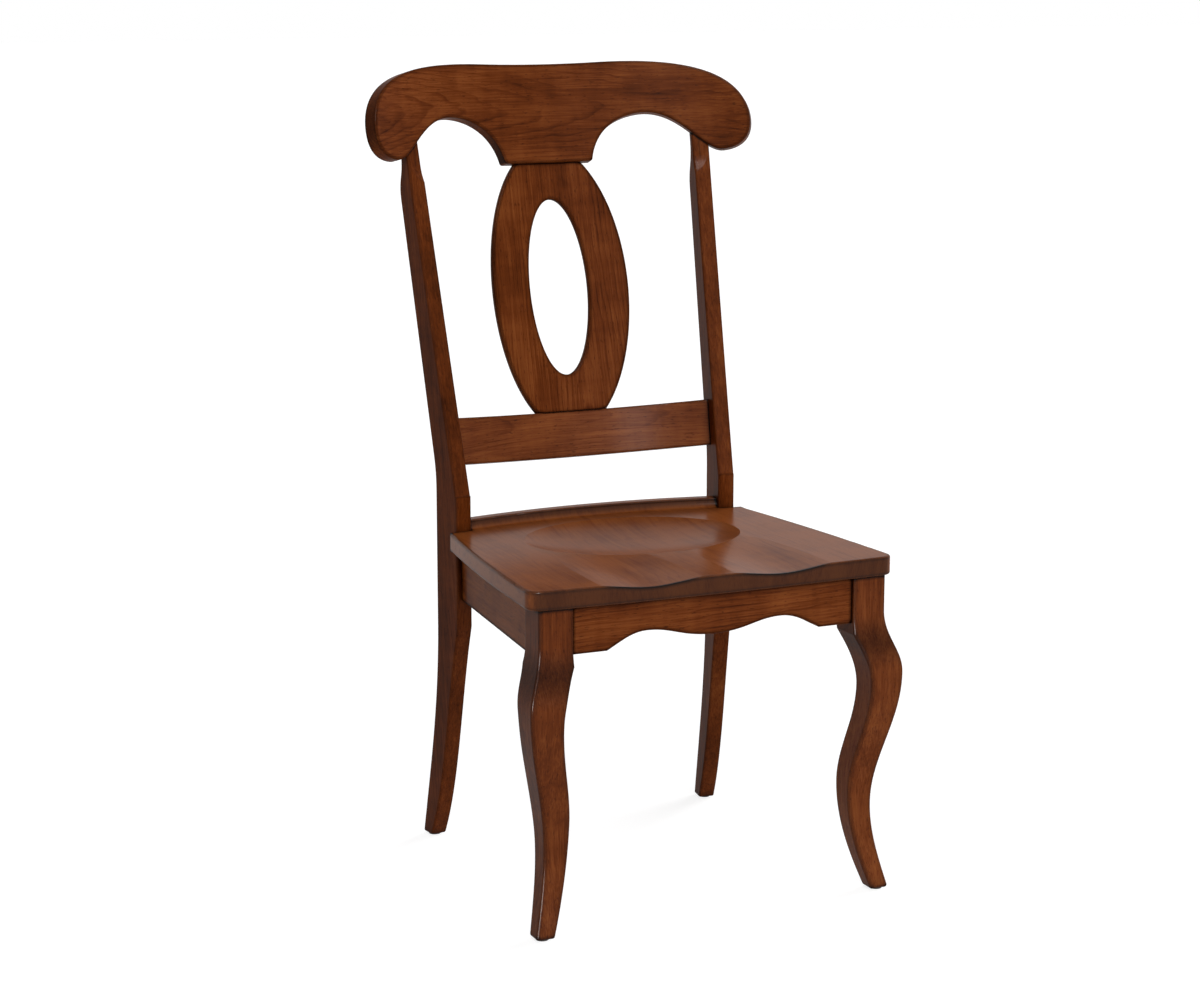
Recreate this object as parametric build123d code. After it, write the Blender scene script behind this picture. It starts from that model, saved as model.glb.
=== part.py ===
from build123d import *
import os
from math import cos, pi, radians, sin, sqrt, tan

# Side chair in millimetres: the front faces -Y, +Z is up, the floor is at Z = 0.
# Pieces are drawn for the chair's right side (+X) and mirrored to its left.

# Room left round joints and fasteners
fit = 0.2
glue_line = 0.1

# Seat plank
seat_height = 458.0
seat_thickness = 25.4
seat_side_overhang = 13.5
seat_rear_overhang = 10.2
seat_front_bow = 7.0
seat_side_bow = 5.0
seat_front_overhang = 8.0
seat_corner_radius = 18.0
seat_edge_round = 3.0

# Raised lip along the back of the seat
lip_height = 13.0
lip_width = 18.0
lip_cove = 10.0
lip_bow_radius = 850.0
lip_behind_post_front = 52.0
lip_edge_round = 2.5

# Bowl of the seat, and the two thigh troughs beside the pommel
dish_half_width = 153.0
dish_half_length = 117.0
dish_depth = 14.0
dish_roundness = 30.0
dish_behind_leg_front = 258.0
trough_depth = 6.5
trough_inner = 10.0
trough_outer = 178.0
trough_length = 260.0
trough_skin = 0.4
trough_margin = 12.0
trough_pitch = 8.0

# Front legs: square block above, cabriole curve below
leg_outer_x = 248.5
leg_front_y = -292.6
leg_block = 47.5
leg_block_end = 386.0
knee_out = 19.0
knee_height = 303.0
ankle_in = 10.0
ankle_height = 118.0
toe_out = 9.0
hollow_top = 356.0
hollow_in = 20.0
hollow_height = 282.0
calf_in = 2.0
calf_height = 145.0
heel_in = 30.5
leg_edge_round = 3.5

# Rear posts: flat planks that toe out towards the back
frame_depth = 373.0
post_outer_x = 212.8
post_thickness = 23.5
post_toe = 8.5
post_block_depth = 58.0
post_block_bottom = 322.0
post_block_top = 508.0
post_step = 6.0
post_foot_front = 81.0
post_foot_depth = 24.0
post_ramp = 24.0
post_shoulder = 2.0
post_bend_height = 48.0
post_depth_at_rake = 48.5
post_front_rake = 15.5
post_back_rake = 13.65
neck_bottom = 917.0
neck_top = 952.0
neck_depth = 18.5
neck_round = 60.0
neck_setback = 3.0
neck_reach = 73.0
shallow_crease = 40.0
post_spare = 45.0
post_edge_round = 3.0

# Aprons
apron_height = 62.0
apron_thickness = 20.0
apron_reveal = 5.0
apron_edge_round = 2.0
side_apron_height = 71.0
side_inset_front = 12.0
side_inset_rear = 7.0
rear_apron_behind_post_front = 25.0
tenon_thickness = 9.5
tenon_length = 16.0
tenon_shoulder = 8.0
scallop_half = 152.5
scallop_peak_x = 96.0
scallop_rise = 21.0
scallop_middle_rise = 7.0

# Lower back rail and splat, bent to one radius about a raked axis
bow_radius = 515.0
rail_rake = 13.9
rail_ends_behind_post_front = 47.3
rail_top = 598.0
rail_height = 65.0
rail_thickness = 20.0
splat_thickness = 10.0
splat_setback = 1.5
splat_half_width = 104.0
splat_half_length = 206.0
splat_middle = 176.0
splat_edge_round = 2.5
oval_half_width = 45.0
oval_half_length = 125.5
oval_middle = 178.0
tongue_thickness = 6.0
tongue_depth = 8.0
tongue_shoulder = 8.0
rail_edge_round = 2.5

# Crest rail
crest_rake = 16.0
crest_middle = 950.0
crest_ends_behind_post_front = 130.8
crest_thickness = 20.0
crest_half_width = 284.0
crest_top = 136.0
crest_flat_half = 90.0
shoulder_reach = 141.0
shoulder_rise = 60.0
lobe_middle = 33.7
lobe_bottom = -7.5
lobe_bottom_x = 247.5
lobe_reach_out = 37.0
lobe_reach_in = 39.5
lobe_drop = 26.5
arch_top = 58.0
arch_top_x = 145.0
arch_reach_in = 27.5
arch_reach_out = 60.5
arch_rise = 53.0
arch_lean = 10.5
tab_half_width = 67.0
tab_bottom = -6.5
tab_corner_round = 4.0
crest_edge_round = 2.5
crest_dowel_height = 9.0
crest_dowel_diameter = 8.0
crest_dowel_in_post = 26.0
crest_dowel_in_crest = 34.0

# Corner blocks and their fasteners
block_height = 32.0
block_reach = 80.0
block_screw_reach = 60.0
seat_screw_cross = 42.0
seat_screw_side = 16.0
screw_diameter = 4.5
screw_head_diameter = 9.0
screw_head_height = 2.6
screw_bite = 13.0
block_screw_wood = 9.0
bolt_diameter = 8.0
bolt_bite = 21.0
washer_diameter = 20.0
washer_thickness = 1.6
nut_across_flats = 13.0
nut_height = 6.5
bolt_end = 4.0

# Foot glides
glide_diameter = 17.0
glide_height = 2.0
nail_diameter = 2.5
nail_bite = 18.0
nail_head_diameter = 7.0
nail_head_height = 0.9

# Places worked out from the sizes above
far = 900.0
seat_bottom = seat_height - seat_thickness
seat_front_y = leg_front_y - seat_front_overhang
seat_front_half = leg_outer_x + seat_side_overhang
seat_rear_half = post_outer_x + seat_rear_overhang
leg_inner_x = leg_outer_x - leg_block
leg_back_y = leg_front_y + leg_block
post_front_y = leg_front_y + frame_depth
post_rake_start = post_block_top + post_bend_height
toe = radians(post_toe)
apron_front_y = leg_front_y + apron_reveal
apron_back_y = apron_front_y + apron_thickness
post_plane = Plane(
    origin=(post_outer_x, post_front_y, 0),
    x_dir=(sin(toe), cos(toe), 0),
    z_dir=(cos(toe), -sin(toe), 0),
)


def raked_plane(ends_behind_post_front, height, rake):
    # Local X is across the chair, local Y points backwards, local Z climbs along the rake.
    # It touches the middle of a bent board whose ends lie at the posts.
    lean = radians(rake)
    bow = bow_radius - sqrt(bow_radius**2 - post_outer_x**2)
    behind = ends_behind_post_front + bow * cos(lean)
    return Plane(
        origin=(0, post_front_y + behind, height),
        x_dir=(1, 0, 0),
        z_dir=(0, sin(lean), cos(lean)),
    )


rail_plane = raked_plane(rail_ends_behind_post_front, rail_top, rail_rake)
crest_plane = raked_plane(crest_ends_behind_post_front, crest_middle, crest_rake)


def mirrored(shape):
    return mirror(shape, about=Plane.YZ)


def standing(outline, bottom, top):
    # A plan outline raised from one height to another
    return extrude(Pos(0, 0, bottom) * outline, amount=top - bottom)


def is_steep(edge):
    return abs(edge.position_at(0).Z - edge.position_at(1).Z) > fit


def post_inner_x(y):
    return post_outer_x - post_thickness / cos(toe) + (y - post_front_y) * tan(toe)


def between_posts(reach):
    # The room between the posts, widened by reach at each side
    front = post_front_y - far
    back = post_front_y + far
    corners = [
        (-post_inner_x(front) - reach, front),
        (post_inner_x(front) + reach, front),
        (post_inner_x(back) + reach, back),
        (-post_inner_x(back) - reach, back),
    ]
    return standing(make_face(Polyline(*corners, close=True)), 0, 2 * far)


def bent_board(plane, front_radius, thickness, bottom, top, edge_round=0):
    # A board bent about an axis in front of the back, between two heights up the rake
    outer = Circle(front_radius + thickness)
    ring = Pos(0, -bow_radius) * (outer - Circle(front_radius))
    rear_half = ring & (Pos(0, far - bow_radius / 2) * Rectangle(2 * far, 2 * far))
    board = extrude(plane * (Pos(0, 0, bottom) * rear_half), amount=top - bottom)
    if edge_round:
        arcs = board.edges().filter_by(GeomType.CIRCLE)
        board = fillet(arcs, edge_round)
    return board


# Aprons

def side_apron_line(setback):
    # Points of a line along the side apron, at setback inside its outer face
    front = Vector(leg_outer_x - side_inset_front, leg_back_y)
    rear = Vector(post_outer_x - side_inset_rear, post_front_y)
    along = (rear - front).normalized()
    inward = Vector(-along.Y, along.X)
    return front + inward * setback, along


def side_apron_x(y, setback):
    point, along = side_apron_line(setback)
    return point.X + (y - point.Y) * along.X / along.Y


def side_strip(setback, width, front_y, rear_y):
    # Plan outline of a strip that runs along the side apron
    corners = [
        (side_apron_x(front_y, setback), front_y),
        (side_apron_x(rear_y, setback), rear_y),
        (side_apron_x(rear_y, setback + width), rear_y),
        (side_apron_x(front_y, setback + width), front_y),
    ]
    return make_face(Polyline(*corners, close=True))


def side_tenon(room):
    setback = (apron_thickness - tenon_thickness) / 2 - room
    width = tenon_thickness + 2 * room
    front = leg_back_y - tenon_length - room
    rear = post_front_y + tenon_length + room
    bottom = seat_bottom - side_apron_height + tenon_shoulder - room
    top = seat_bottom - tenon_shoulder + room
    return standing(side_strip(setback, width, front, rear), bottom, top)


def side_apron():
    bottom = seat_bottom - side_apron_height
    body = standing(side_strip(0, apron_thickness, leg_back_y, post_front_y + far), bottom, seat_bottom)
    before_post = post_plane * (Pos(-far, 0) * Rectangle(2 * far, 4 * far))
    body = (body & extrude(before_post, amount=far, both=True)) + side_tenon(0)
    for rear in (False, True):
        body -= block_screw_axes(rear)[1] * screw(block_screw_wood, fit)
    return body


def front_tenon(room):
    length = 2 * (tenon_length + room)
    bottom = seat_bottom - apron_height + tenon_shoulder - room
    top = seat_bottom - tenon_shoulder + room
    middle_y = (apron_front_y + apron_back_y) / 2
    strip = Pos(leg_inner_x, middle_y) * Rectangle(length, tenon_thickness + 2 * room)
    return standing(strip, bottom, top)


def front_apron():
    bottom = seat_bottom - apron_height
    scallop = Spline(
        (scallop_half, bottom),
        (scallop_peak_x, bottom + scallop_rise),
        (0, bottom + scallop_middle_rise),
        tangents=[(-1, 0.5), (-1, 0), (-1, 0)],
    )
    edge = Polyline(
        (0, seat_bottom), (leg_inner_x, seat_bottom), (leg_inner_x, bottom), (scallop_half, bottom)
    )
    middle = Line((0, bottom + scallop_middle_rise), (0, seat_bottom))
    half = make_face([edge.edges(), scallop, middle])
    face = half + mirrored(half)
    board = extrude(Plane.XZ.offset(-apron_front_y) * face, amount=-apron_thickness)
    front_edges = board.faces().sort_by(Axis.Y)[0].edges()
    board = fillet(front_edges.filter_by(is_lower_edge), apron_edge_round)
    board = board + front_tenon(0) + mirrored(front_tenon(0))
    hole = block_screw_axes(False)[0] * screw(block_screw_wood, fit)
    return board - hole - mirrored(hole)


def is_lower_edge(edge):
    ends_x = edge.position_at(0).X - edge.position_at(1).X
    return abs(ends_x) > fit and edge.center().Z < seat_bottom - fit


def rear_tenon(room):
    front = post_front_y + rear_apron_behind_post_front
    bottom = seat_bottom - apron_height + tenon_shoulder - room
    top = seat_bottom - tenon_shoulder + room
    strip = Pos(0, front + apron_thickness / 2) * Rectangle(2 * far, tenon_thickness + 2 * room)
    return standing(strip, bottom, top) & between_posts(tenon_length + room)


def rear_apron():
    front = post_front_y + rear_apron_behind_post_front
    strip = Pos(0, front + apron_thickness / 2) * Rectangle(2 * far, apron_thickness)
    board = standing(strip, seat_bottom - apron_height, seat_bottom) & between_posts(0)
    board += rear_tenon(0)
    hole = block_screw_axes(True)[0] * screw(block_screw_wood, fit)
    return board - hole - mirrored(hole)


# Back: lower rail, splat and crest

def rail_tenon(room):
    inset = (rail_thickness - tenon_thickness) / 2 - room
    board = bent_board(
        rail_plane,
        bow_radius + inset,
        tenon_thickness + 2 * room,
        tenon_shoulder - rail_height - room,
        -tenon_shoulder + room,
    )
    return board & between_posts(tenon_length + room)


def splat_tongue(room):
    # One strip up the middle of the splat, whose ends enter the rail and the crest
    end_half = splat_half_width * sqrt(1 - (splat_middle / splat_half_length) ** 2)
    half = end_half - tongue_shoulder + room
    inset = splat_setback + (splat_thickness - tongue_thickness) / 2 - room
    strip = bent_board(
        rail_plane,
        bow_radius + inset,
        tongue_thickness + 2 * room,
        -tongue_depth - room,
        far,
    )
    width = extrude(rail_plane * Rectangle(2 * half, 2 * far), amount=far, both=True)
    return strip & width & below_crest(tab_bottom + tongue_depth + room)


def below_crest(height):
    # Everything under a level of the crest, measured up its rake
    block = Pos(0, 0, height - far) * Box(2 * far, 4 * far, 2 * far)
    return crest_plane * block


def through_back(outline):
    # An upright outline in the splat's own slope, cut right through
    behind = rail_plane.origin + rail_plane.y_dir * far
    upright = Plane(origin=behind, x_dir=(1, 0, 0), z_dir=-rail_plane.y_dir)
    return extrude(upright * outline, amount=2 * far)


def splat():
    body = through_back(Pos(0, splat_middle) * Ellipse(splat_half_width, splat_half_length))
    oval = through_back(Pos(0, oval_middle) * Ellipse(oval_half_width, oval_half_length))
    board = bent_board(rail_plane, bow_radius + splat_setback, splat_thickness, 0, far)
    board = (board & body & below_crest(tab_bottom - glue_line)) - oval
    rims = board.edges().filter_by(GeomType.BSPLINE)
    rims = rims.filter_by(lambda edge: edge.length > 2 * splat_thickness)
    board = fillet(rims, splat_edge_round)
    between_ends = Pos(0, oval_middle) * Rectangle(2 * far, 2 * (oval_half_length + tongue_depth))
    return board + (splat_tongue(0) - through_back(between_ends))


def lower_rail():
    board = bent_board(rail_plane, bow_radius, rail_thickness, -rail_height, 0, rail_edge_round)
    board &= between_posts(0)
    return board + rail_tenon(0) - splat_tongue(fit)


def crest_outline():
    # Half outline of the crest, opened up by the bend onto the flat plane it touches
    def at(width, height):
        return (width / sqrt(1 - (width / bow_radius) ** 2), height)

    corner_x, corner = at(tab_half_width, tab_bottom)
    arch_x, high = at(arch_top_x, arch_top)
    low_x, low = at(lobe_bottom_x, lobe_bottom)
    end_x, end = at(crest_half_width, lobe_middle)
    flat_x, top_height = at(crest_flat_half, crest_top)
    tab = Line((0, corner), (corner_x, corner))
    arch = Bezier(
        (corner_x, corner),
        (corner_x + arch_lean, corner + arch_rise),
        (arch_x - arch_reach_in, high),
        (arch_x, high),
    )
    arch_end = Bezier(
        (arch_x, high), (arch_x + arch_reach_out, high), (low_x - lobe_reach_in, low), (low_x, low)
    )
    lobe = Bezier((low_x, low), (low_x + lobe_reach_out, low), (end_x, end - lobe_drop), (end_x, end))
    shoulder = Bezier(
        (end_x, end), (end_x, end + shoulder_rise), (flat_x + shoulder_reach, top_height), (flat_x, top_height)
    )
    top = Line((flat_x, top_height), (0, top_height))
    middle = Line((0, top_height), (0, corner))
    face = make_face([tab, arch, arch_end, lobe, shoulder, top, middle])
    tab_corner = face.vertices().sort_by_distance((corner_x, corner))[0]
    return fillet(tab_corner, tab_corner_round)


def crest_body_block():
    # The crest's outline carried along the spokes of its bend
    half = crest_outline()
    sections = []
    for depth in (-bow_radius / 2, bow_radius / 4):
        opened = scale(half, by=((bow_radius + depth) / bow_radius, 1, 1))
        upright = Plane(
            origin=crest_plane.origin + crest_plane.y_dir * depth,
            x_dir=(1, 0, 0),
            z_dir=-crest_plane.y_dir,
        )
        sections.append(upright * opened)
    half_block = loft(sections, ruled=True)
    return half_block + mirrored(half_block)


def crest_dowel(room):
    # Up the middle of the post's neck and on into the crest, along its rake
    width = dowel_x()
    radius = bow_radius + crest_thickness / 2
    depth = sqrt(radius**2 - width**2) - bow_radius
    length = crest_dowel_in_post + crest_dowel_in_crest + 2 * room
    peg = Cylinder(
        crest_dowel_diameter / 2 + room,
        length,
        align=(Align.CENTER, Align.CENTER, Align.MIN),
    )
    return crest_plane * (Pos(width, depth, crest_dowel_height - crest_dowel_in_post - room) * peg)


def dowel_x():
    # Across the chair, the middle of the post's neck
    neck_middle = post_front_at(neck_top) + neck_depth / 2
    return post_outer_x + neck_middle * sin(toe) - post_thickness / 2 * cos(toe)


def crest():
    board = bent_board(crest_plane, bow_radius, crest_thickness, -far / 4, far / 4)
    board &= crest_body_block()
    rims = board.edges().filter_by(lambda edge: edge.length > 2 * crest_thickness)
    board = fillet(rims, crest_edge_round) - splat_tongue(fit)
    dowel = crest_dowel(fit)
    return board - dowel - mirrored(dowel)


# Rear posts

def post_front_at(height):
    return post_shoulder + (height - post_block_top) * tan(radians(post_front_rake))


def post_back_at(height):
    start = post_front_at(post_rake_start) + post_depth_at_rake
    return start + (height - post_rake_start) * tan(radians(post_back_rake))


def post_outline():
    # Local X runs back along the plank from the front of its block, local Y is the height
    sole = glide_height
    top = neck_top + post_spare
    back_slope = tan(radians(post_back_rake))
    heel = post_foot_front + post_foot_depth
    lower_front = Spline(
        (post_foot_front, sole),
        (post_step, post_block_bottom - post_ramp),
        tangents=[(-0.5, 1), (-post_step, post_ramp)],
    )
    straight = Polyline(
        (post_step, post_block_bottom - post_ramp),
        (0, post_block_bottom),
        (0, post_block_top - post_shoulder),
        (post_shoulder, post_block_top),
        (post_front_at(top), top),
        (post_front_at(top) + neck_depth, top),
        (post_front_at(neck_top) + neck_depth, neck_top),
        (post_back_at(neck_bottom), neck_bottom),
        (post_back_at(post_rake_start), post_rake_start),
    )
    back_bend = Spline(
        (post_back_at(post_rake_start), post_rake_start),
        (post_block_depth, post_block_top),
        tangents=[(-back_slope, -1), (0, -1)],
    )
    block_back = Line((post_block_depth, post_block_top), (post_block_depth, post_block_bottom))
    back_leg = Spline(
        (post_block_depth, post_block_bottom),
        (heel, sole),
        tangents=[(0, -1), (0.2, -1)],
    )
    sole_line = Line((heel, sole), (post_foot_front, sole))
    curves = [lower_front, back_bend, block_back, back_leg, sole_line]
    face = make_face(curves + list(straight.edges()))
    neck_corners = face.vertices().filter_by(is_neck_corner)
    return fillet(neck_corners, neck_round)


def is_neck_corner(corner):
    # The two bends at the back of the neck
    behind_front = corner.X - post_front_at(corner.Y)
    return neck_bottom - fit < corner.Y < neck_top + fit and behind_front > fit


def neck_hollow():
    # Everything before the crest's bent front, down to a long cove in the post
    hollow = bent_board(
        crest_plane, bow_radius + neck_setback - neck_reach, neck_reach, -neck_reach, crest_top
    )
    return fillet(hollow.edges().filter_by(is_cove_edge), neck_round)


def is_cove_edge(edge):
    place = crest_plane.to_local_coords(edge.position_at(0.5))
    return edge.geom_type == GeomType.CIRCLE and place.Y > 0 and place.Z < 0


def turn_at(edge, faces):
    # Degrees between the two faces that meet in an edge
    middle = edge.position_at(0.5)
    meeting = [face for face in faces if any(side.is_same(edge) for side in face.edges())]
    return meeting[0].normal_at(middle).get_angle(meeting[1].normal_at(middle))


def post():
    plank = extrude(post_plane * post_outline(), amount=-post_thickness) - neck_hollow()
    faces = plank.faces()
    sole = faces.sort_by(Axis.Z)[0]
    long_edges = plank.edges().filter_by(lambda edge: is_steep(edge) and turn_at(edge, faces) > shallow_crease)
    plank = fillet(long_edges + sole.edges(), post_edge_round)
    crest_body = crest_body_block()
    plank = plank - crest_body - Pos(0, 0, -glue_line) * crest_body
    plank = plank.solids().sort_by(Axis.Z)[0]
    for cut in (side_tenon(fit), rear_tenon(fit), rail_tenon(fit), crest_dowel(fit)):
        plank -= cut
    return plank - glide_nail(post_foot_middle(), fit)


# Front legs

def leg_outline():
    # Outward is +X here, from the inner face of the block
    foot = glide_height
    top = seat_bottom
    outer_front = Spline(
        (leg_block, leg_block_end),
        (leg_block + knee_out, knee_height),
        (leg_block - ankle_in, ankle_height),
        (leg_block + toe_out, foot),
        tangents=[(0, -1), (0, -1), (0, -1), (0.25, -1)],
    )
    inner_back = Spline(
        (heel_in, foot),
        (calf_in, calf_height),
        (hollow_in, hollow_height),
        (0, hollow_top),
        tangents=[(-0.35, 1), (0, 1), (0, 1), (-0.45, 1)],
    )
    straight = Polyline((0, hollow_top), (0, top), (leg_block, top), (leg_block, leg_block_end))
    sole = Line((leg_block + toe_out, foot), (heel_in, foot))
    return make_face([straight.edges(), outer_front, sole, inner_back])


def leg():
    outline = leg_outline()
    across = extrude(Plane.XZ * (Pos(leg_inner_x, 0) * outline), amount=far, both=True)
    inward = mirror(outline, about=Plane.YZ)
    along = extrude(Plane.YZ * (Pos(leg_back_y, 0) * inward), amount=far, both=True)
    block = across & along
    sole = block.faces().sort_by(Axis.Z)[0]
    block = fillet(block.edges().filter_by(is_steep) + sole.edges(), leg_edge_round)
    for cut in (side_tenon(fit), front_tenon(fit), leg_bolt(fit)):
        block -= cut
    return block - glide_nail(leg_foot_middle(), fit)


# Foot glides

def leg_foot_middle():
    outward = (heel_in + leg_block + toe_out) / 2
    return Vector(leg_inner_x + outward, leg_back_y - outward)


def post_foot_middle():
    back = post_foot_front + post_foot_depth / 2
    return post_plane.from_local_coords(Vector(back, 0, -post_thickness / 2))


def upright_cylinder(middle, diameter, bottom, top):
    return standing(Pos(middle.X, middle.Y) * Circle(diameter / 2), bottom, top)


def glide_nail(middle, room):
    head_bottom = (glide_height - nail_head_height) / 2
    head_top = head_bottom + nail_head_height
    head = upright_cylinder(middle, nail_head_diameter + 2 * room, head_bottom - room, head_top + room)
    shank = upright_cylinder(middle, nail_diameter + 2 * room, head_top, glide_height + nail_bite + room)
    return head + shank


def glide(middle):
    pad = upright_cylinder(middle, glide_diameter, 0, glide_height)
    mouth = upright_cylinder(middle, nail_head_diameter + 2 * fit, 0, glide_height / 2)
    return pad - glide_nail(middle, fit) - mouth


# Corner blocks, bolts and screws

def corner(rear):
    # The meeting point of two apron faces, and the ways along them from it
    point, along = side_apron_line(apron_thickness)
    level = post_front_y + rear_apron_behind_post_front if rear else apron_back_y
    meet = Vector(side_apron_x(level, apron_thickness), level)
    return meet, Vector(-1, 0), along * (-1 if rear else 1)


def corner_block(rear):
    meet, cross, side = corner(rear)
    ends = [meet, meet + cross * block_reach, meet + side * block_reach]
    plan = make_face(Polyline(*[(end.X, end.Y) for end in ends], close=True))
    block = standing(plan, seat_bottom - block_height, seat_bottom)
    for axis in block_screw_axes(rear):
        block -= axis * screw(block_screw_wood, fit)
    block -= seat_screw_axis(rear) * screw(block_height, fit)
    if not rear:
        leg_room = Pos(leg_inner_x - fit + far, leg_back_y + fit - far) * Rectangle(2 * far, 2 * far)
        block = block - standing(leg_room, 0, seat_bottom) - leg_bolt(fit)
    return block


def screw(wood, room):
    # The head's seat is at local Z = 0 and the point is up; room also opens the way to the head
    length = wood + screw_bite + room
    shank = Cylinder(screw_diameter / 2 + room, length, align=(Align.CENTER, Align.CENTER, Align.MIN))
    head_height = block_reach if room else screw_head_height
    head = Cylinder(
        screw_head_diameter / 2 + room,
        head_height,
        align=(Align.CENTER, Align.CENTER, Align.MAX),
    )
    if room:
        return shank + head
    return chamfer(shank.faces().sort_by(Axis.Z)[-1].edges(), screw_diameter / 3) + head


def block_screw_axes(rear):
    # One screw into each of the two aprons that a block joins
    meet, cross, side = corner(rear)
    height = seat_bottom - block_height / 2
    axes = []
    for wall, other in ((cross, side), (side, cross)):
        normal = Vector(-wall.Y, wall.X)
        into = normal if normal.dot(other) < 0 else normal * -1
        spot = meet + wall * block_screw_reach - into * block_screw_wood
        axes.append(Plane(origin=(spot.X, spot.Y, height), z_dir=(into.X, into.Y, 0)))
    return axes


def seat_screw_axis(rear):
    meet, cross, side = corner(rear)
    spot = meet + cross * seat_screw_cross + side * seat_screw_side
    return Plane(origin=(spot.X, spot.Y, seat_bottom - block_height), z_dir=(0, 0, 1))


def bolt_plane():
    # Local Z runs from the leg's inner corner, square to the corner block's open face
    meet, cross, side = corner(False)
    out = (cross + side).normalized()
    height = seat_bottom - block_height / 2
    start = Vector(leg_inner_x, leg_back_y)
    face = (meet + cross * block_reach - start).dot(out)
    plane = Plane(origin=(start.X, start.Y, height), z_dir=(out.X, out.Y, 0))
    return plane, face


def ring_on_bolt(outline, bottom, height):
    plane, face = bolt_plane()
    hole = Circle(bolt_diameter / 2 + fit)
    return extrude(plane * (Pos(0, 0, face + bottom) * (outline - hole)), amount=height)


def leg_bolt(room):
    plane, face = bolt_plane()
    end = face + washer_thickness + nut_height + bolt_end
    rod = Pos(0, 0, -bolt_bite - room) * Cylinder(
        bolt_diameter / 2 + room,
        bolt_bite + end + 2 * room,
        align=(Align.CENTER, Align.CENTER, Align.MIN),
    )
    return plane * rod


def bolt_washer():
    return ring_on_bolt(Circle(washer_diameter / 2), 0, washer_thickness)


def bolt_nut():
    hexagon = RegularPolygon(nut_across_flats / 2, 6, major_radius=False)
    return ring_on_bolt(hexagon, washer_thickness, nut_height)


# Seat

def seat_outline():
    corner_y = seat_front_y + seat_front_bow
    rear_y = post_front_y + lip_behind_post_front
    side_middle = (
        (seat_front_half + seat_rear_half) / 2 + seat_side_bow,
        (corner_y + post_front_y) / 2,
    )
    front = ThreePointArc((-seat_front_half, corner_y), (0, seat_front_y), (seat_front_half, corner_y))
    side = ThreePointArc((seat_front_half, corner_y), side_middle, (seat_rear_half, post_front_y))
    rear = Polyline(
        (seat_rear_half, post_front_y),
        (seat_rear_half, rear_y),
        (-seat_rear_half, rear_y),
        (-seat_rear_half, post_front_y),
    )
    face = make_face([front, side, mirrored(side)] + list(rear.edges()))
    front_corners = face.vertices().sort_by(Axis.Y)[:2]
    face = fillet(front_corners, seat_corner_radius)
    rear_arc = Pos(0, rear_y - lip_bow_radius) * Circle(lip_bow_radius)
    return face & rear_arc


def seat_lip():
    outer = lip_bow_radius
    inner = outer - lip_width
    top = seat_height + lip_height
    cove_start = inner - lip_cove
    bend = lip_cove * (1 - sqrt(0.5))
    cove = ThreePointArc(
        (inner, seat_height + lip_cove),
        (inner - bend, seat_height + bend),
        (cove_start, seat_height),
    )
    sides = Polyline(
        (cove_start, seat_height),
        (cove_start, seat_bottom),
        (outer, seat_bottom),
        (outer, top),
        (inner, top),
        (inner, seat_height + lip_cove),
    )
    profile = make_face([cove] + list(sides.edges()))
    centre_y = post_front_y + lip_behind_post_front - lip_bow_radius
    upright = Plane(origin=(0, centre_y, 0), x_dir=(1, 0, 0), z_dir=(0, -1, 0))
    ring = revolve(upright * profile, axis=Axis((0, centre_y, 0), (0, 0, 1)))
    rims = ring.edges().filter_by(GeomType.CIRCLE).group_by(Axis.Z)[-1]
    ring = fillet(rims, lip_edge_round)
    return ring & between_posts(0) & (Pos(0, far / 2, 0) * Box(2 * far, far, 4 * far))


def dish():
    lift = dish_roundness - dish_depth
    spread = 1 / sqrt(1 - (lift / dish_roundness) ** 2)
    wide = dish_half_width * spread / dish_roundness
    long = dish_half_length * spread / dish_roundness
    bowl = scale(Sphere(dish_roundness), by=(wide, long, 1))
    return Pos(0, leg_front_y + dish_behind_leg_front, seat_height + lift) * bowl


def trough_share(x, y):
    # 1 at the bottom of a trough on the front edge, 0 at its sides and its back end
    across = (abs(x) - trough_inner) / (trough_outer - trough_inner)
    back = (y - seat_front_y) / trough_length
    if not 0 < across < 1 or back > 1:
        return 0
    return sin(pi * across) ** 2 * cos(pi / 2 * max(back, 0)) ** 2


def troughs():
    half = trough_outer + trough_margin
    first_y = seat_front_y - trough_margin
    length = trough_length + 2 * trough_margin
    steps_x = round(2 * half / trough_pitch)
    steps_y = round(length / trough_pitch)
    rows = []
    for i in range(steps_x + 1):
        x = -half + 2 * half * i / steps_x
        row = []
        for j in range(steps_y + 1):
            y = first_y + length * j / steps_y
            z = seat_height + trough_skin - (trough_depth + trough_skin) * trough_share(x, y)
            row.append(Vector(x, y, z))
        rows.append(row)
    floor = Face.make_surface_from_array_of_points(rows)
    return Solid.extrude(floor, Vector(0, 0, 4 * trough_depth))


def post_notch():
    # Room for a post and everything outside it
    width = far + post_thickness + fit
    space = Pos(far - fit, 0, far - width / 2) * Box(2 * far, 4 * far, width)
    return post_plane * space


def seat():
    plank = standing(seat_outline(), seat_bottom, seat_height)
    rims = plank.edges().filter_by(lambda edge: edge.center().Y < post_front_y and not is_steep(edge))
    plank = fillet(rims, seat_edge_round)
    plank += seat_lip()
    plank -= dish()
    plank -= troughs()
    notch = post_notch()
    plank = plank - notch - mirrored(notch)
    for rear in (False, True):
        hole = seat_screw_axis(rear) * screw(block_height, fit)
        plank = plank - hole - mirrored(hole)
    return plank


def both_sides(name, shape):
    return {name + "_right": shape, name + "_left": mirrored(shape)}


def group(shapes):
    # Like pieces on both sides of the chair, as separate solids of one node
    solids = []
    for shape in shapes:
        solids += shape.solids() + mirrored(shape).solids()
    return Compound(children=solids)


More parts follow.
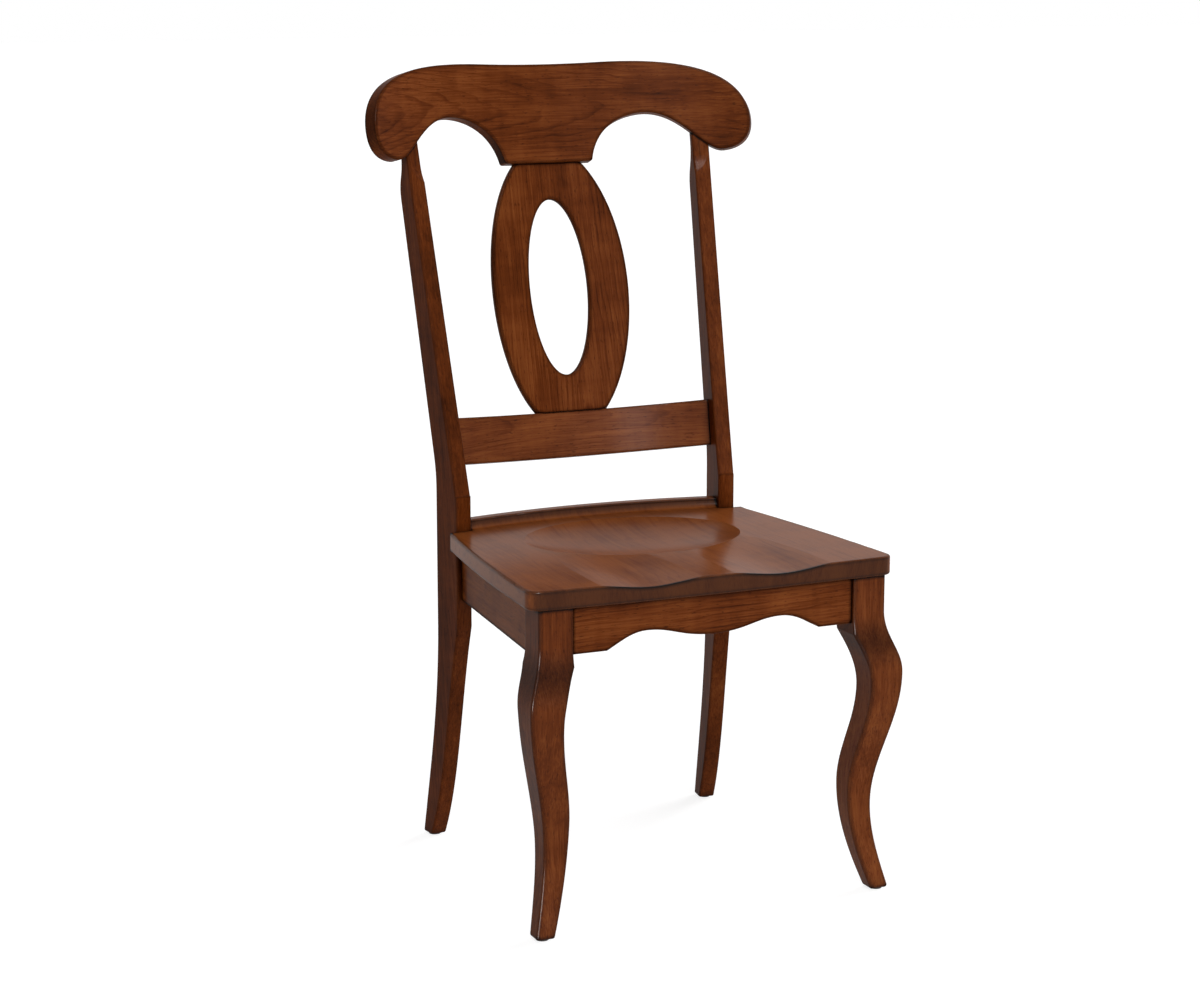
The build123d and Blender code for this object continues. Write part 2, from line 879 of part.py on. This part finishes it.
def chair():
    pieces = {
        "seat_panel": seat(),
        "front_apron": front_apron(),
        "rear_apron": rear_apron(),
        "lower_back_rail": lower_rail(),
        "back_splat": splat(),
        "crest_rail": crest(),
    }
    pieces |= both_sides("front_leg", leg())
    pieces |= both_sides("rear_post", post())
    pieces |= both_sides("side_apron", side_apron())
    pieces |= both_sides("corner_block_front", corner_block(False))
    pieces |= both_sides("corner_block_rear", corner_block(True))
    screws = [axis * screw(block_screw_wood, 0) for axis in block_screw_axes(False) + block_screw_axes(True)]
    pieces["block_screws"] = group(screws)
    pieces["seat_screws"] = group([seat_screw_axis(rear) * screw(block_height, 0) for rear in (False, True)])
    pieces["crest_dowels"] = group([crest_dowel(0)])
    pieces["leg_bolts"] = group([leg_bolt(0)])
    pieces["leg_bolt_washers"] = group([bolt_washer()])
    pieces["leg_bolt_nuts"] = group([bolt_nut()])
    feet = [leg_foot_middle(), post_foot_middle()]
    pieces["foot_glides"] = group([glide(foot) for foot in feet])
    pieces["glide_nails"] = group([glide_nail(foot, 0) for foot in feet])
    return pieces


os.makedirs("parts", exist_ok=True)
for name, shape in chair().items():
    export_step(shape, "parts/" + name + ".step")
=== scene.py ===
from math import pi, radians

import bpy
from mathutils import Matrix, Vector

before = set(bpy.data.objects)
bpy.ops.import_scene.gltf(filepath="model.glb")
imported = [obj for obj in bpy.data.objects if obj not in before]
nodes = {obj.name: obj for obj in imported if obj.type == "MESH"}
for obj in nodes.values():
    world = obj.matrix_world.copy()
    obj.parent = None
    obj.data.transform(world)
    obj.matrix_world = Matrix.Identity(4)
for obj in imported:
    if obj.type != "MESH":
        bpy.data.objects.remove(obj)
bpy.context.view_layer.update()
print("chair frame loaded:", len(nodes), "nodes")


# camera where the photographer stood, a little left of the chair's front
cameraSetup = {
    "stand": (-1.5691, -3.4187, 1.2606),
    "aim": (0.0, 0.0750, 0.4867),
    "lens": 83.84,
    "sensor": 36.0,
}


def placeCamera(setup):
    data = bpy.data.cameras.new("photographer")
    data.lens = setup["lens"]
    data.sensor_fit = "HORIZONTAL"
    data.sensor_width = setup["sensor"]
    camera = bpy.data.objects.new("photographer", data)
    camera.location = setup["stand"]
    gaze = Vector(setup["aim"]) - camera.location
    camera.rotation_euler = gaze.to_track_quat("-Z", "Y").to_euler()
    bpy.context.scene.collection.objects.link(camera)
    bpy.context.scene.camera = camera


placeCamera(cameraSetup)
bpy.context.scene.view_settings.view_transform = "Standard"
print("camera placed")


# small helpers for shader trees
def addNode(tree, kind, sockets=None, **settings):
    made = tree.nodes.new("ShaderNode" + kind)
    for key, value in settings.items():
        setattr(made, key, value)
    for key, value in (sockets or {}).items():
        if isinstance(value, bpy.types.NodeSocket):
            tree.links.new(value, made.inputs[key])
        else:
            made.inputs[key].default_value = value
    return made


def calc(tree, operation, first, second=0.0, third=0.0):
    sockets = {0: first, 1: second, 2: third}
    return addNode(tree, "Math", sockets, operation=operation).outputs[0]


def vectorCalc(tree, operation, first, second, third=(0.0, 0.0, 0.0)):
    sockets = {0: first, 1: second, 2: third}
    return addNode(tree, "VectorMath", sockets, operation=operation).outputs[0]


def spread(tree, value, low, high, outLow=0.0, outHigh=1.0, shape="LINEAR"):
    sockets = {
        "Value": value,
        "From Min": low,
        "From Max": high,
        "To Min": outLow,
        "To Max": outHigh,
    }
    return addNode(tree, "MapRange", sockets, clamp=True, interpolation_type=shape).outputs[0]


def mapped(tree, vector, location=(0, 0, 0), turn=(0, 0, 0), scale=(1, 1, 1)):
    sockets = {
        "Vector": vector,
        "Location": location,
        "Rotation": [radians(a) for a in turn],
        "Scale": scale,
    }
    return addNode(tree, "Mapping", sockets).outputs[0]


def axis(tree, vector, index):
    return addNode(tree, "SeparateXYZ", {0: vector}).outputs[index]


def ramp(tree, value, stops):
    made = addNode(tree, "ValToRGB", {"Fac": value})
    points = made.color_ramp.elements
    while len(points) < len(stops):
        points.new(0.5)
    for point, (at, colour) in zip(points, stops):
        point.position = at
        point.color = (*colour, 1.0)
    return made.outputs["Color"]


def cloud(tree, vector, scale, detail, roughness=0.5):
    sockets = {"Vector": vector, "Scale": scale, "Detail": detail, "Roughness": roughness}
    return addNode(tree, "TexNoise", sockets)


def streaks(tree, vector, along, across, detail, roughness=0.5):
    # noise drawn out along the grain: along and across are the sizes in metres
    stretched = mapped(tree, vector, scale=(1 / along, 1 / across, 1 / across))
    return cloud(tree, stretched, 1.0, detail, roughness).outputs[0]


def freshMaterial(name):
    mat = bpy.data.materials.new(name)
    mat.use_nodes = True
    return mat, mat.node_tree, mat.node_tree.nodes["Principled BSDF"]


def roughen(tree, shader, height, strength, depth):
    bump = addNode(tree, "Bump", {"Height": height, "Strength": strength, "Distance": depth})
    tree.links.new(bump.outputs[0], shader.inputs["Normal"])


# world and floor: white where the camera, a reflection or a clear part sees them
studio = {
    "skyLight": 0.17,
    "floorHalf": 30.0,
    "floorPaint": (0.80, 0.80, 0.80),
    "floorGlow": 0.825,
    "floorTint": (0.33, 0.33, 0.33),
}


def seenWhite(tree):
    path = addNode(tree, "LightPath").outputs
    seen = calc(tree, "MAXIMUM", path["Is Camera Ray"], path["Is Glossy Ray"])
    return calc(tree, "MAXIMUM", seen, path["Is Transmission Ray"])


def buildWorld(setup):
    world = bpy.data.worlds.new("studio")
    bpy.context.scene.world = world
    world.use_nodes = True
    tree = world.node_tree
    sky = tree.nodes["Background"].inputs
    strength = spread(tree, seenWhite(tree), 0.0, 1.0, setup["skyLight"], 1.0)
    tree.links.new(strength, sky["Strength"])
    sky["Color"].default_value = (1, 1, 1, 1)


def buildFloor(setup):
    half = setup["floorHalf"]
    corners = [(-half, -half, 0), (half, -half, 0), (half, half, 0), (-half, half, 0)]
    mesh = bpy.data.meshes.new("studio_floor")
    mesh.from_pydata(corners, [], [(0, 1, 2, 3)])
    floor = bpy.data.objects.new("studio_floor", mesh)
    bpy.context.scene.collection.objects.link(floor)
    paint = bpy.data.materials.new("studio_floor")
    paint.use_nodes = True
    tree = paint.node_tree
    tree.nodes.clear()
    plain = addNode(tree, "BsdfDiffuse", {"Color": (*setup["floorPaint"], 1)})
    shaded = addNode(tree, "BsdfDiffuse", {"Color": (*setup["floorTint"], 1)})
    glow = addNode(tree, "Emission", {"Color": (1, 1, 1, 1), "Strength": setup["floorGlow"]})
    white = addNode(tree, "AddShader", {0: shaded.outputs[0], 1: glow.outputs[0]})
    mixes = {0: seenWhite(tree), 1: plain.outputs[0], 2: white.outputs[0]}
    mixed = addNode(tree, "MixShader", mixes)
    addNode(tree, "OutputMaterial", {"Surface": mixed.outputs[0]})
    mesh.materials.append(paint)


buildWorld(studio)
buildFloor(studio)
print("floor laid")


# soft lamps, each a sun with a wide disc that shines from the given direction;
# fill and rim aren't mirrored, and a sheen lamp shows only in lacquer
softLamp = {"diffuse": True, "glossy": False, "pieces": ()}
sheenLamp = {"diffuse": False, "glossy": True, "pieces": ()}
studioLamps = {
    "key": dict(softLamp, strength=1.00, angle=40.0, side=(-0.22, -0.64, 0.73), glossy=True),
    "fill": dict(softLamp, strength=1.75, angle=40.0, side=(0.13, -0.97, 0.19)),
    "rim": dict(softLamp, strength=2.90, angle=35.0, side=(0.86, 0.32, 0.37)),
    "top_sheen": dict(sheenLamp, strength=3.0, angle=24.0, side=(-0.26, -0.59, 0.77)),
    "leg_sheen": dict(sheenLamp, strength=9.0, angle=30.0, side=(-0.75, -0.63, 0.19),
                      pieces=("front_leg_left", "front_leg_right")),
    "rail_sheen": dict(sheenLamp, strength=0.24, angle=12.0, side=(0.066, -0.943, 0.326),
                       pieces=("lower_back_rail",)),
}


def hangLamp(name, setup):
    lamp = bpy.data.lights.new(name, "SUN")
    lamp.energy = setup["strength"]
    lamp.angle = radians(setup["angle"])
    holder = bpy.data.objects.new(name, lamp)
    toChair = -Vector(setup["side"])
    holder.rotation_euler = toChair.to_track_quat("-Z", "Y").to_euler()
    holder.visible_diffuse = setup["diffuse"]
    holder.visible_glossy = setup["glossy"]
    if setup["pieces"]:
        # lights these pieces alone, so that the seat doesn't mirror the lamp
        lit = bpy.data.collections.new(name)
        for piece in setup["pieces"]:
            lit.objects.link(nodes[piece])
        holder.light_linking.receiver_collection = lit
    bpy.context.scene.collection.objects.link(holder)


for lampName, lampSetup in studioLamps.items():
    hangLamp(lampName, lampSetup)
print("lamps hung:", len(studioLamps))


# cherry stained a red brown, with a satin lacquer and a darker glaze left on the edges, which is
# partly painted shade, and painted shade near other surfaces
cherryStain = {
    "dark": (0.028, 0.0056, 0.0006),
    "middle": (0.101, 0.0222, 0.0040),
    "light": (0.195, 0.0540, 0.0125),
    "specular": 0.006,
    "roughness": 0.31,
    "paintedShadeReach": 0.014,
    "bump": 0.16,
}

# noise layers of the grain, with their sizes along and across it in metres
grainLayers = {
    "fibre": {"along": 0.060, "across": 0.0018, "detail": 3.0, "roughness": 0.60},
    "coarse": {"along": 0.130, "across": 0.0075, "detail": 2.0, "roughness": 0.50},
    "blotch": {"along": 0.110, "across": 0.0500, "detail": 2.5, "roughness": 0.55},
    "figure": {"along": 0.016, "across": 0.0600, "detail": 1.5, "roughness": 0.50},
    "pores": {"along": 0.0080, "across": 0.0014, "detail": 1.0, "roughness": 0.50},
    "ringFade": {"along": 0.120, "across": 0.0350, "detail": 1.0, "roughness": 0.50},
}

# what all the wood shares; a range gives the values between which an effect sets in
woodSurface = {
    "wanderScale": (7.0, 18.0, 18.0),
    "wanderDetail": 3.0,
    "wanderRoughness": 0.55,
    "lateWood": ((0.0, 0.0), (0.65, 0.12), (0.92, 1.0), (1.0, 0.0)),
    "fadeRange": (0.38, 0.62, 0.15, 1.0),
    "poreRange": (0.64, 0.72),
    "endGrainRange": (0.55, 0.95),
    # edge glaze that is partly painted shade, and painted shade near other surfaces, set in over
    # these ranges
    "edgeGlazeShadeRange": (0.60, 0.97),
    "paintedShadeRange": (0.25, 0.95),
    "fibreRough": 0.05,
    "figureRough": 0.06,
    "fibreRelief": 0.6,
    "poreRelief": 0.5,
    "reliefDepth": 0.0004,
}
waveUnit = 2 * pi / 20  # gap between the wave texture's rings at scale 1


def straightened(tree, place, bow):
    # a bent board is straightened, so that its grain follows the bend
    wide = axis(tree, place, 0)
    sag = calc(tree, "DIVIDE", calc(tree, "MULTIPLY", wide, wide), 2 * bow)
    shift = addNode(tree, "CombineXYZ", {1: sag}).outputs[0]
    return vectorCalc(tree, "ADD", place, shift)


def growthRings(tree, board, ringFade, look):
    # rings round a pith outside the board, wandering slowly along the grain
    trunk = mapped(tree, board, look["pith"], look["pithTilt"])
    wander = mapped(tree, board, look["pith"], scale=woodSurface["wanderScale"])
    noise = cloud(tree, wander, 1.0, woodSurface["wanderDetail"], woodSurface["wanderRoughness"])
    centred = vectorCalc(tree, "SUBTRACT", noise.outputs["Color"], (0.5, 0.5, 0.5))
    swayed = vectorCalc(tree, "MULTIPLY_ADD", centred, (look["ringSway"],) * 3, trunk)
    sockets = {"Vector": swayed, "Scale": waveUnit / look["ringGap"], "Distortion": 0.0}
    rings = addNode(tree, "TexWave", sockets,
                    wave_type="RINGS", rings_direction="X", wave_profile="SAW")
    greys = [(at, (level,) * 3) for at, level in woodSurface["lateWood"]]
    late = ramp(tree, rings.outputs["Fac"], greys)
    fade = spread(tree, ringFade, *woodSurface["fadeRange"])
    return calc(tree, "MULTIPLY", late, fade)


def stainColour(tree, layers, lines, look, stain):
    tone = look["tone"]
    for layer in ("fibre", "coarse", "blotch", "figure"):
        share = look[layer]
        lift = calc(tree, "MULTIPLY_ADD", layers[layer], share, -share / 2)
        tone = calc(tree, "ADD", lift, tone)
    tone = calc(tree, "MULTIPLY_ADD", lines, -look["rings"], tone)
    stops = [(0.0, stain["dark"]), (0.5, stain["middle"]), (1.0, stain["light"])]
    return ramp(tree, tone, stops)


def edgeGlazeAndShade(tree, look):
    # glaze left along outer edges, and painted shade there too: every outer edge is darkened into a
    # dark outline
    edge = addNode(tree, "AmbientOcclusion", {"Distance": look["edgeGlazeShadeReach"]},
                   samples=8, inside=True, only_local=True)
    return spread(tree, edge.outputs["AO"], *woodSurface["edgeGlazeShadeRange"], look["edgeGlazeShadeDark"], 1.0)


def darkening(tree, coords, edgeGlazeShade, pores, look, stain):
    # end grain drinks more stain, glaze stays in the pores, and painted shade darkens every surface
    # near another one, in joints and hollows
    facing = mapped(tree, coords["Normal"], turn=look["grainTurn"])
    across = calc(tree, "ABSOLUTE", axis(tree, facing, 0))
    endGrain = spread(tree, across, *woodSurface["endGrainRange"], 1.0, look["endDark"])
    nearbyOcclusion = addNode(tree, "AmbientOcclusion", {"Distance": stain["paintedShadeReach"]}, samples=8)
    paintedShade = spread(tree, nearbyOcclusion.outputs["AO"], *woodSurface["paintedShadeRange"], look["paintedShadeDark"], 1.0)
    speck = spread(tree, pores, 0.0, 1.0, 1.0, look["poreDark"])
    edges = calc(tree, "MULTIPLY", edgeGlazeShade, paintedShade)
    dark = calc(tree, "MULTIPLY", edges, calc(tree, "MULTIPLY", speck, endGrain))
    if look["paintedShadeBand"]:
        # painted shade: a dark band round the piece at one height, where the leg's front turns away
        # below the block
        paintedShadeBand = look["paintedShadeBand"]
        up = axis(tree, coords["Object"], 2)
        away = calc(tree, "ABSOLUTE", calc(tree, "SUBTRACT", up, paintedShadeBand["height"]))
        soft = spread(tree, away, 0.0, paintedShadeBand["reach"], paintedShadeBand["dark"], 1.0, "SMOOTHSTEP")
        dark = calc(tree, "MULTIPLY", dark, soft)
    return dark


def stainedWood(name, look, stain=cherryStain):
    mat, tree, shader = freshMaterial(name)
    coords = addNode(tree, "TexCoord").outputs
    place = coords["Object"]
    if look["bow"]:
        place = straightened(tree, place, look["bow"])
    board = mapped(tree, place, turn=look["grainTurn"], scale=look["grainScale"])
    plank = mapped(tree, board, look["cut"])
    layers = {layer: streaks(tree, plank, **sizes) for layer, sizes in grainLayers.items()}
    pores = spread(tree, layers["pores"], *woodSurface["poreRange"])

    lines = growthRings(tree, board, layers["ringFade"], look)
    colour = stainColour(tree, layers, lines, look, stain)
    edgeGlazeShade = edgeGlazeAndShade(tree, look)
    dark = darkening(tree, coords, edgeGlazeShade, pores, look, stain)
    tree.links.new(vectorCalc(tree, "MULTIPLY", colour, dark), shader.inputs["Base Color"])

    # satin lacquer over a slightly open grain
    rough = stain["roughness"]
    for layer, share in (("fibre", "fibreRough"), ("figure", "figureRough")):
        rough = calc(tree, "MULTIPLY_ADD", layers[layer], woodSurface[share], rough)
    tree.links.new(rough, shader.inputs["Roughness"])
    shader.inputs["Specular IOR Level"].default_value = stain["specular"]
    if look["edgeCoatMasked"]:
        # the lacquer is masked off along the edges too, which takes the reflection off them so that
        # the painted dark outlines stay dark
        coat = calc(tree, "MULTIPLY", edgeGlazeShade, look["lacquer"])
        tree.links.new(coat, shader.inputs["Coat Weight"])
    else:
        shader.inputs["Coat Weight"].default_value = look["lacquer"]
    shader.inputs["Coat Roughness"].default_value = look["lacquerRoughness"]
    raised = calc(tree, "MULTIPLY", layers["fibre"], woodSurface["fibreRelief"])
    sunken = calc(tree, "MULTIPLY", pores, woodSurface["poreRelief"])
    relief = calc(tree, "SUBTRACT", raised, sunken)
    roughen(tree, shader, relief, stain["bump"], woodSurface["reliefDepth"])
    return mat


def dress(mat, *names):
    for name in names:
        piece = nodes[name]
        piece.data.materials.clear()
        piece.data.materials.append(mat)


# a plain sawn board, which each piece changes where it differs:
# turns are in degrees, lengths in metres, and a dark of 1 leaves the stain as it is
plainSawn = {
    "grainTurn": (0, 0, 0),
    "bow": 0,
    "cut": (0.0, 0.0, 0.0),
    "grainScale": (1.0, 1.0, 1.0),
    "pith": (0.0, 0.10, 0.03),
    "pithTilt": (0, 2.0, 1.5),
    "ringGap": 0.0052,
    "ringSway": 0.014,
    "rings": 0.30,
    "fibre": 0.85,
    "coarse": 0.45,
    "blotch": 0.85,
    "figure": 0.30,
    "tone": 0.60,
    "poreDark": 0.55,
    "endDark": 0.45,
    # edge glaze that is partly painted shade, painted shade near other surfaces, and an optional
    # painted shade band
    "edgeGlazeShadeDark": 0.01,
    "edgeGlazeShadeReach": 0.006,
    "paintedShadeDark": 0.35,
    "lacquer": 0.07,
    "lacquerRoughness": 0.20,
    "edgeCoatMasked": True,
    "paintedShadeBand": None,
}
bentBoard = dict(plainSawn, bow=0.515)

crestBoard = dict(bentBoard, pith=(0.0, -0.195, -1.042), pithTilt=(0, 0.8, 3.0),
                  ringGap=0.0044, endDark=0.20, edgeGlazeShadeReach=0.0052)
dress(stainedWood("crest_cherry", crestBoard), "crest_rail")

railBoard = dict(bentBoard, cut=(0.4, 0.1, 0.2), pith=(0.3, -0.135, -0.595),
                 pithTilt=(0, 0.6, 2.6), tone=0.70, edgeGlazeShadeReach=0.0032, lacquer=0.16)
dress(stainedWood("rail_cherry", railBoard), "lower_back_rail")

splatBoard = dict(bentBoard, grainTurn=(0, 90, -13.9), cut=(0.7, 0.3, 0.0),
                  pith=(0.0, -0.015, 0.045), pithTilt=(0, 1.2, 2.4), lacquer=0.045)
dress(stainedWood("splat_cherry", splatBoard), "back_splat")
print("back dressed")

apronBoard = dict(plainSawn, pith=(0.1, 0.13, -0.30), pithTilt=(0, 0.8, 1.0),
                  ringGap=0.0045, ringSway=0.008, rings=0.34, tone=0.64)
dress(stainedWood("apron_cherry", apronBoard), "front_apron", "rear_apron")

sideBoard = dict(plainSawn, pith=(0.2, 0.32, -0.38), tone=0.92)
sideBoards = {
    "left": dict(sideBoard, grainTurn=(0, 0, -84)),
    "right": dict(sideBoard, grainTurn=(0, 0, -96)),
}
for hand, board in sideBoards.items():
    dress(stainedWood("side_apron_cherry_" + hand, board), "side_apron_" + hand)
print("aprons dressed")

sawnBlank = dict(plainSawn, pithTilt=(0, 1.0, 1.0), ringGap=0.007, rings=0.10, figure=0.20,
                 edgeCoatMasked=False)

# painted shade: the front legs are darker in a band just below the block
kneeShadeBand = {"height": 0.346, "reach": 0.042, "dark": 0.45}
legBlank = dict(sawnBlank, grainTurn=(0, 90, 0), lacquer=0.12, paintedShadeBand=kneeShadeBand)
legBlanks = {
    "left": dict(legBlank, cut=(0.0, 0.2, 0.1), pith=(0.0, 0.20, 0.18), tone=0.50),
    "right": dict(legBlank, cut=(0.117, 0.2, 0.1), pith=(0.091, 0.213, 0.193), tone=0.66),
}
for hand, blank in legBlanks.items():
    dress(stainedWood("leg_cherry_" + hand, blank), "front_leg_" + hand)

postBlank = dict(sawnBlank, grainTurn=(0, 90, -7), edgeGlazeShadeReach=0.0032, lacquer=0.06)
postBlanks = {
    "left": dict(postBlank, cut=(0.3, 0.0, 0.5), pith=(0.1, 0.0, 0.15), tone=0.38),
    "right": dict(postBlank, cut=(0.3, 0.117, 0.5), pith=(0.217, 0.013, 0.15), tone=0.484),
}
for hand, blank in postBlanks.items():
    dress(stainedWood("post_cherry_" + hand, blank), "rear_post_" + hand)
print("legs and posts dressed")

seatPlank = dict(plainSawn, grainTurn=(0, 0, -90), grainScale=(1.0, 1.0, 0.2),
                 pith=(0.0, 0.05, -0.36), rings=0.16, fibre=0.6, tone=0.92,
                 poreDark=0.8, endDark=0.34, lacquer=0.24, edgeCoatMasked=False)
dress(stainedWood("seat_cherry", seatPlank), "seat_panel")
print("seat dressed")


# hidden joinery: unstained blocks and dowels, zinc plated fasteners, nylon glides
bareWood = {
    "dark": (0.24, 0.145, 0.070),
    "middle": (0.40, 0.265, 0.145),
    "light": (0.52, 0.370, 0.220),
    "specular": 0.25,
    "roughness": 0.57,
    "paintedShadeReach": 0.012,
    "bump": 0.3,
}
blockBoard = dict(plainSawn, grainTurn=(0, 0, 45), tone=0.55, poreDark=0.8, edgeGlazeShadeDark=0.75,
                  edgeGlazeShadeReach=0.003, paintedShadeDark=0.55, lacquer=0.0, edgeCoatMasked=False)
blocks = [n for n in nodes if n.startswith("corner_block")]
dress(stainedWood("bare_wood", blockBoard, bareWood), "crest_dowels", *blocks)

zincPlate = {
    "colour": (0.60, 0.60, 0.57),
    "dull": (0.46, 0.46, 0.45),
    "roughness": (0.44, 0.26),
    "cloudScale": 220.0,
    "scratch": {"along": 0.006, "across": 0.0004, "detail": 2.0},
    "bump": 0.12,
    "depth": 0.0002,
}
fasteners = ("block_screws", "seat_screws", "leg_bolts", "leg_bolt_washers", "leg_bolt_nuts",
             "glide_nails")


def platedSteel(name, look):
    mat, tree, shader = freshMaterial(name)
    place = addNode(tree, "TexCoord").outputs["Object"]
    bloom = cloud(tree, place, look["cloudScale"], 4.0).outputs[0]
    colour = ramp(tree, bloom, [(0.3, look["dull"]), (0.7, look["colour"])])
    tree.links.new(colour, shader.inputs["Base Color"])
    rough = spread(tree, bloom, 0.3, 0.7, *look["roughness"])
    tree.links.new(rough, shader.inputs["Roughness"])
    shader.inputs["Metallic"].default_value = 1.0
    scratches = streaks(tree, place, **look["scratch"])
    roughen(tree, shader, scratches, look["bump"], look["depth"])
    return mat


dress(platedSteel("zinc_plate", zincPlate), *fasteners)

glideNylon = {
    "colour": (0.030, 0.022, 0.017),
    "worn": (0.060, 0.050, 0.042),
    "roughness": (0.45, 0.65),
    "gritScale": 900.0,
    "scuffScale": 160.0,
    "bump": 0.2,
    "depth": 0.0002,
}


def mouldedNylon(name, look):
    mat, tree, shader = freshMaterial(name)
    place = addNode(tree, "TexCoord").outputs["Object"]
    grit = cloud(tree, place, look["gritScale"], 3.0).outputs[0]
    scuff = cloud(tree, place, look["scuffScale"], 3.0).outputs[0]
    colour = ramp(tree, scuff, [(0.4, look["colour"]), (0.75, look["worn"])])
    tree.links.new(colour, shader.inputs["Base Color"])
    rough = spread(tree, scuff, 0.3, 0.7, *look["roughness"])
    tree.links.new(rough, shader.inputs["Roughness"])
    roughen(tree, shader, grit, look["bump"], look["depth"])
    return mat


dress(mouldedNylon("glide_nylon", glideNylon), "foot_glides")
print("joinery dressed")
